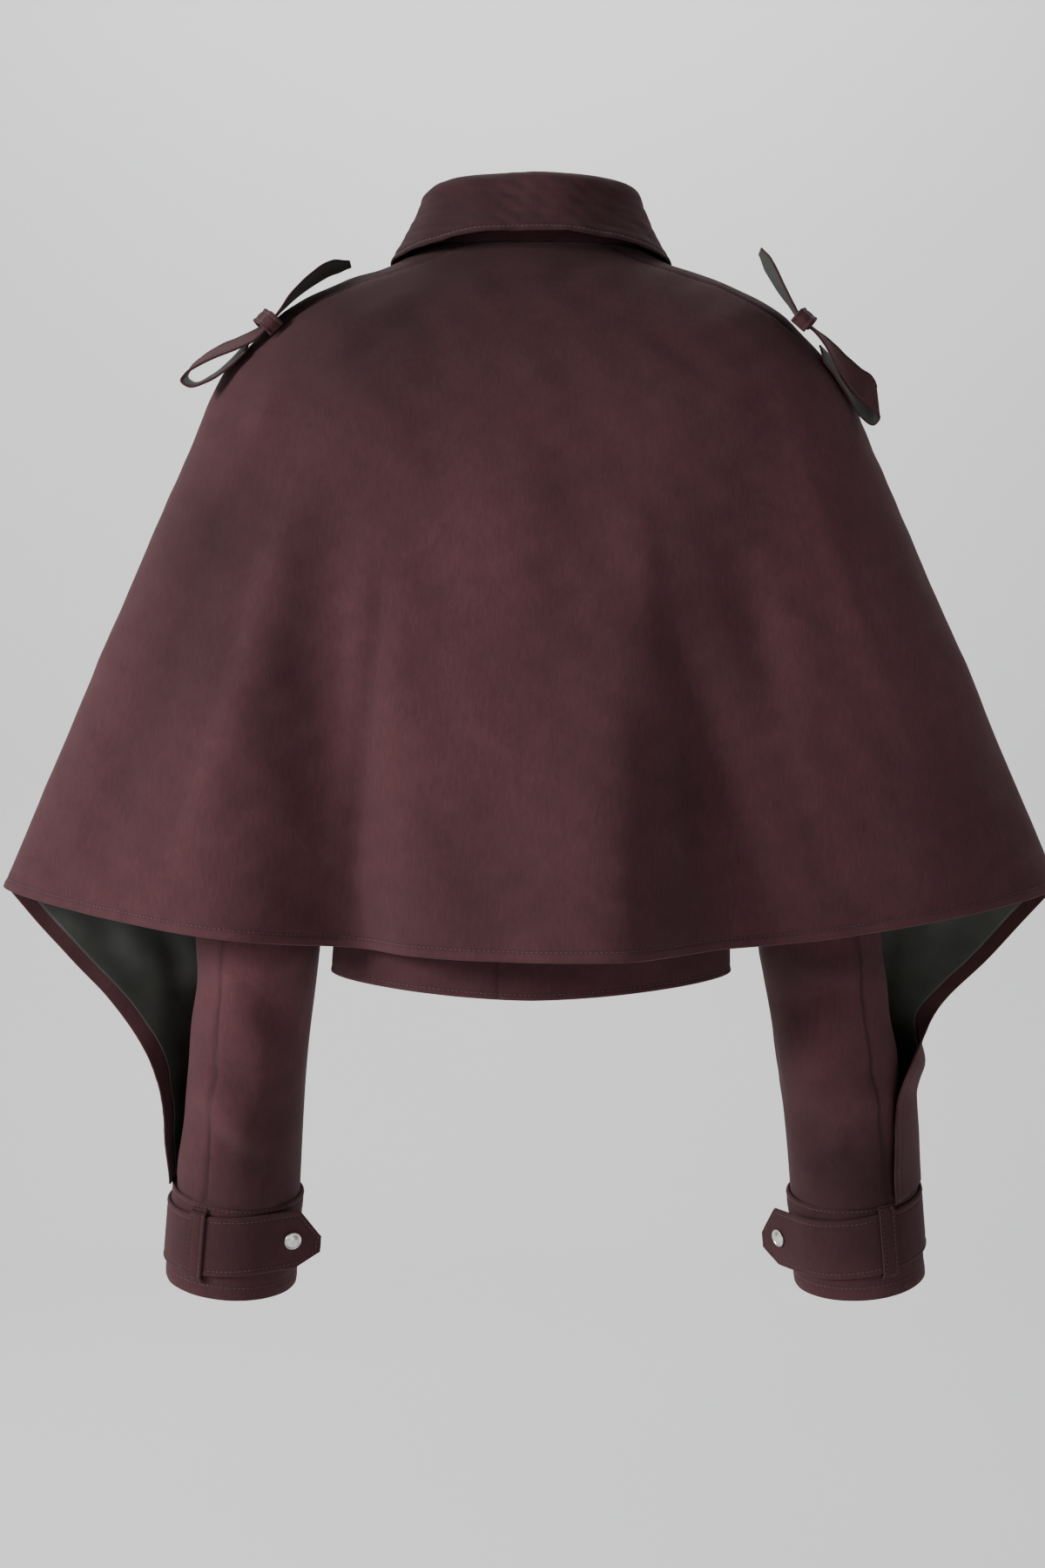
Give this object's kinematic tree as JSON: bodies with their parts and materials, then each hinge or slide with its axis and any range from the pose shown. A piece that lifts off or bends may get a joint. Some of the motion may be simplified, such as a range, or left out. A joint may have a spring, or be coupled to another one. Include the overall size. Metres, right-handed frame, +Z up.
{
  "type": "suede cape jacket",
  "caption": "Cropped suede jacket with a cape back, open wing sleeves, buttoned cuff straps, shoulder straps and a turned-down collar, held open as when worn.",
  "frame": {"origin": "between the shoulders, level with the neck seam at the centre back, where the wearer's shoulders hold the jacket up", "axes": "+Z up, the jacket faces -Y, +X is the wearer's left"},
  "size_m": [0.7948, 0.2945, 0.8269],
  "materials": {
    "suede": "dark aubergine suede, short soft nap, matt with a faint sheen",
    "lining": "smooth woven lining, green-black",
    "snap_metal": "polished silver press stud cap"
  },
  "bodies": {
    "root": {"cape_back": "suede", "body_back": "suede", "hem_band": "suede", "collar_stand": "suede", "collar_fall": "suede", "wing_front_left": "suede", "sleeve_under_left": "suede", "lining_wing_left": "lining", "body_front_left": "suede", "cuff_left": "suede", "cuff_strap_left": "suede", "cuff_loop_left": "suede", "cuff_snap_left": "snap_metal", "epaulette_left": "suede", "epaulette_loop_left": "suede", "wing_front_right": "suede", "sleeve_under_right": "suede", "lining_wing_right": "lining", "body_front_right": "suede", "cuff_right": "suede", "cuff_strap_right": "suede", "cuff_loop_right": "suede", "cuff_snap_right": "snap_metal", "epaulette_right": "suede", "epaulette_loop_right": "suede"}
  },
  "joints": []
}
